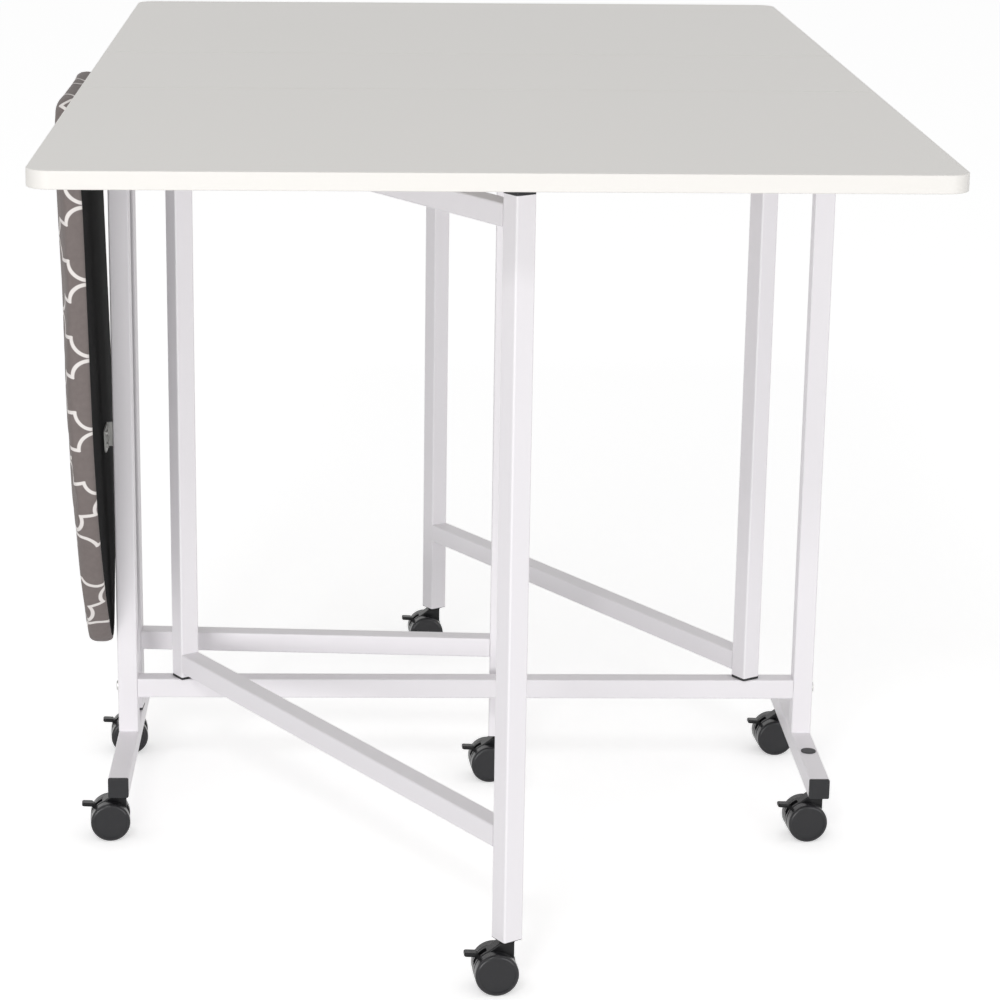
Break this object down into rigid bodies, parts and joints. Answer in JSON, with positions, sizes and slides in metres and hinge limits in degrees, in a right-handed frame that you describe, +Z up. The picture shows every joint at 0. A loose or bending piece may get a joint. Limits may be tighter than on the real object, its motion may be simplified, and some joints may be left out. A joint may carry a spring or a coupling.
{
  "type": "folding sewing and cutting table",
  "caption": "Rolling drop-leaf cutting table on a square-tube frame with swing-out gate legs and a padded ironing board that folds down at one end.",
  "frame": {"origin": "on the floor under the middle of the overall box", "axes": "+Z up, +X along the leaf seams away from the ironing board, +Y from the front leaf to the back leaf"},
  "size_m": [0.9494, 1.492, 0.925],
  "materials": {
    "white_laminate": "white melamine-faced particle board, satin, square lightly eased edges",
    "white_steel": "white powder coat on square steel tube",
    "black_plastic": "moulded black plastic plugs, satin",
    "zinc_steel": "bright zinc-plated steel",
    "black_deck": "black-faced board, matt",
    "printed_cover": "woven cotton cover over foam, taupe grey with a white trellis pattern",
    "caster_plastic": "moulded black nylon, satin",
    "wheel_plastic": "moulded black nylon wheels, satin"
  },
  "bodies": {
    "frame": {"left_post": "white_steel", "right_post": "white_steel", "left_foot": "white_steel", "right_foot": "white_steel", "left_top_bar": "white_steel", "right_top_bar": "white_steel", "lower_rail": "white_steel", "upper_rail": "white_steel", "centre_panel": "white_laminate", "frame_end_caps": "black_plastic", "rail_bolts": "zinc_steel", "frame_screws": "zinc_steel", "pivot_pins": "zinc_steel", "foot_caster_sockets": "black_plastic", "strip_hinge_plates": "zinc_steel", "hinge_pins": "zinc_steel", "board_hinge_brackets": "zinc_steel"},
    "front_leaf": {"front_leaf_panel": "white_laminate", "front_leaf_hinge_plates": "zinc_steel"},
    "back_leaf": {"back_leaf_panel": "white_laminate", "back_leaf_hinge_plates": "zinc_steel"},
    "front_gate": {"front_gate_pivot_post": "white_steel", "front_gate_lower_rail": "white_steel", "front_gate_top_rail": "white_steel", "front_gate_leg": "white_steel", "front_gate_plugs": "black_plastic"},
    "back_gate": {"back_gate_pivot_post": "white_steel", "back_gate_lower_rail": "white_steel", "back_gate_top_rail": "white_steel", "back_gate_leg": "white_steel", "back_gate_plugs": "black_plastic"},
    "board_gate": {"board_gate_pivot_post": "white_steel", "board_gate_rail": "white_steel", "board_gate_leg": "white_steel", "board_gate_plugs": "black_plastic"},
    "ironing_board": {"board_deck": "black_deck", "board_pad": "printed_cover", "board_catch": "zinc_steel", "board_hinge_plates": "zinc_steel"},
    "front_left_caster": {"front_left_caster_hood": "caster_plastic"},
    "front_left_caster_wheels": {"front_left_caster_wheels": "wheel_plastic"},
    "front_left_caster_brake": {"front_left_caster_lever": "caster_plastic"},
    "front_right_caster": {"front_right_caster_hood": "caster_plastic"},
    "front_right_caster_wheels": {"front_right_caster_wheels": "wheel_plastic"},
    "front_right_caster_brake": {"front_right_caster_lever": "caster_plastic"},
    "back_left_caster": {"back_left_caster_hood": "caster_plastic"},
    "back_left_caster_wheels": {"back_left_caster_wheels": "wheel_plastic"},
    "back_left_caster_brake": {"back_left_caster_lever": "caster_plastic"},
    "back_right_caster": {"back_right_caster_hood": "caster_plastic"},
    "back_right_caster_wheels": {"back_right_caster_wheels": "wheel_plastic"},
    "back_right_caster_brake": {"back_right_caster_lever": "caster_plastic"},
    "front_gate_caster": {"front_gate_caster_hood": "caster_plastic"},
    "front_gate_caster_wheels": {"front_gate_caster_wheels": "wheel_plastic"},
    "front_gate_caster_brake": {"front_gate_caster_lever": "caster_plastic"},
    "back_gate_caster": {"back_gate_caster_hood": "caster_plastic"},
    "back_gate_caster_wheels": {"back_gate_caster_wheels": "wheel_plastic"},
    "back_gate_caster_brake": {"back_gate_caster_lever": "caster_plastic"},
    "board_gate_caster": {"board_gate_caster_hood": "caster_plastic"},
    "board_gate_caster_wheels": {"board_gate_caster_wheels": "wheel_plastic"},
    "board_gate_caster_brake": {"board_gate_caster_lever": "caster_plastic"}
  },
  "joints": [
    {"name": "front_leaf_lift", "type": "hinge", "parent": "frame", "child": "front_leaf", "pos_m": [0.0175, -0.1616, 0.9027], "axis": [-1, 0, 0], "range_deg": [0, 2]},
    {"name": "back_leaf_lift", "type": "hinge", "parent": "frame", "child": "back_leaf", "pos_m": [0.0175, 0.1616, 0.9027], "axis": [1, 0, 0], "range_deg": [0, 2]},
    {"name": "front_gate_swing", "type": "hinge", "parent": "frame", "child": "front_gate", "pos_m": [-0.33891, 0, 0.5], "axis": [0, 0, 1], "range_deg": [0, 53]},
    {"name": "back_gate_swing", "type": "hinge", "parent": "frame", "child": "back_gate", "pos_m": [0.37389, 0, 0.5], "axis": [0, 0, 1], "range_deg": [0, 42.5]},
    {"name": "board_gate_swing", "type": "hinge", "parent": "frame", "child": "board_gate", "pos_m": [-0.4118, 0.08, 0.5], "axis": [0, 0, 1], "range_deg": [-2.5, 186.5]},
    {"name": "board_flip", "type": "hinge", "parent": "frame", "child": "ironing_board", "pos_m": [-0.4434, 0, 0.905], "axis": [0, 1, 0], "range_deg": [0, 91.6]},
    {"name": "front_left_caster_swivel", "type": "hinge", "parent": "frame", "child": "front_left_caster", "pos_m": [-0.4118, -0.151, 0.06], "axis": [0, 0, 1], "continuous": true},
    {"name": "front_left_wheel_spin", "type": "hinge", "parent": "front_left_caster", "child": "front_left_caster_wheels", "pos_m": [-0.42436, -0.1521, 0.0242], "axis": [-0.0872, 0.9962, 0], "continuous": true},
    {"name": "front_left_brake_press", "type": "hinge", "parent": "front_left_caster", "child": "front_left_caster_brake", "pos_m": [-0.4393, -0.15341, 0.0358], "axis": [0.0872, -0.9962, 0], "range_deg": [0, 20]},
    {"name": "front_right_caster_swivel", "type": "hinge", "parent": "frame", "child": "front_right_caster", "pos_m": [0.44679, -0.151, 0.06], "axis": [0, 0, 1], "continuous": true},
    {"name": "front_right_wheel_spin", "type": "hinge", "parent": "front_right_caster", "child": "front_right_caster_wheels", "pos_m": [0.43424, -0.1521, 0.0242], "axis": [-0.0872, 0.9962, 0], "continuous": true},
    {"name": "front_right_brake_press", "type": "hinge", "parent": "front_right_caster", "child": "front_right_caster_brake", "pos_m": [0.4193, -0.15341, 0.0358], "axis": [0.0872, -0.9962, 0], "range_deg": [0, 20]},
    {"name": "back_left_caster_swivel", "type": "hinge", "parent": "frame", "child": "back_left_caster", "pos_m": [-0.4118, 0.151, 0.06], "axis": [0, 0, 1], "continuous": true},
    {"name": "back_left_wheel_spin", "type": "hinge", "parent": "back_left_caster", "child": "back_left_caster_wheels", "pos_m": [-0.42436, 0.1499, 0.0242], "axis": [-0.0872, 0.9962, 0], "continuous": true},
    {"name": "back_left_brake_press", "type": "hinge", "parent": "back_left_caster", "child": "back_left_caster_brake", "pos_m": [-0.4393, 0.1486, 0.0358], "axis": [0.0872, -0.9962, 0], "range_deg": [0, 20]},
    {"name": "back_right_caster_swivel", "type": "hinge", "parent": "frame", "child": "back_right_caster", "pos_m": [0.44679, 0.151, 0.06], "axis": [0, 0, 1], "continuous": true},
    {"name": "back_right_wheel_spin", "type": "hinge", "parent": "back_right_caster", "child": "back_right_caster_wheels", "pos_m": [0.43424, 0.1499, 0.0242], "axis": [-0.0872, 0.9962, 0], "continuous": true},
    {"name": "back_right_brake_press", "type": "hinge", "parent": "back_right_caster", "child": "back_right_caster_brake", "pos_m": [0.4193, 0.1486, 0.0358], "axis": [0.0872, -0.9962, 0], "range_deg": [0, 20]},
    {"name": "front_gate_caster_swivel", "type": "hinge", "parent": "front_gate", "child": "front_gate_caster", "pos_m": [0.04507, -0.59126, 0.06], "axis": [0, 0, 1], "continuous": true},
    {"name": "front_gate_wheel_spin", "type": "hinge", "parent": "front_gate_caster", "child": "front_gate_caster_wheels", "pos_m": [0.03251, -0.59236, 0.0242], "axis": [-0.0872, 0.9962, 0], "continuous": true},
    {"name": "front_gate_brake_press", "type": "hinge", "parent": "front_gate_caster", "child": "front_gate_caster_brake", "pos_m": [0.01757, -0.59367, 0.0358], "axis": [0.0872, -0.9962, 0], "range_deg": [0, 20]},
    {"name": "back_gate_caster_swivel", "type": "hinge", "parent": "back_gate", "child": "back_gate_caster", "pos_m": [-0.01008, 0.59126, 0.06], "axis": [0, 0, 1], "continuous": true},
    {"name": "back_gate_wheel_spin", "type": "hinge", "parent": "back_gate_caster", "child": "back_gate_caster_wheels", "pos_m": [-0.02263, 0.59017, 0.0242], "axis": [-0.0872, 0.9962, 0], "continuous": true},
    {"name": "back_gate_brake_press", "type": "hinge", "parent": "back_gate_caster", "child": "back_gate_caster_brake", "pos_m": [-0.03757, 0.58886, 0.0358], "axis": [0.0872, -0.9962, 0], "range_deg": [0, 20]},
    {"name": "board_gate_caster_swivel", "type": "hinge", "parent": "board_gate", "child": "board_gate_caster", "pos_m": [0.06226, 0.05017, 0.06], "axis": [0, 0, 1], "continuous": true},
    {"name": "board_gate_wheel_spin", "type": "hinge", "parent": "board_gate_caster", "child": "board_gate_caster_wheels", "pos_m": [0.0497, 0.04908, 0.0242], "axis": [-0.0872, 0.9962, 0], "continuous": true},
    {"name": "board_gate_brake_press", "type": "hinge", "parent": "board_gate_caster", "child": "board_gate_caster_brake", "pos_m": [0.03476, 0.04777, 0.0358], "axis": [0.0872, -0.9962, 0], "range_deg": [0, 20]}
  ]
}
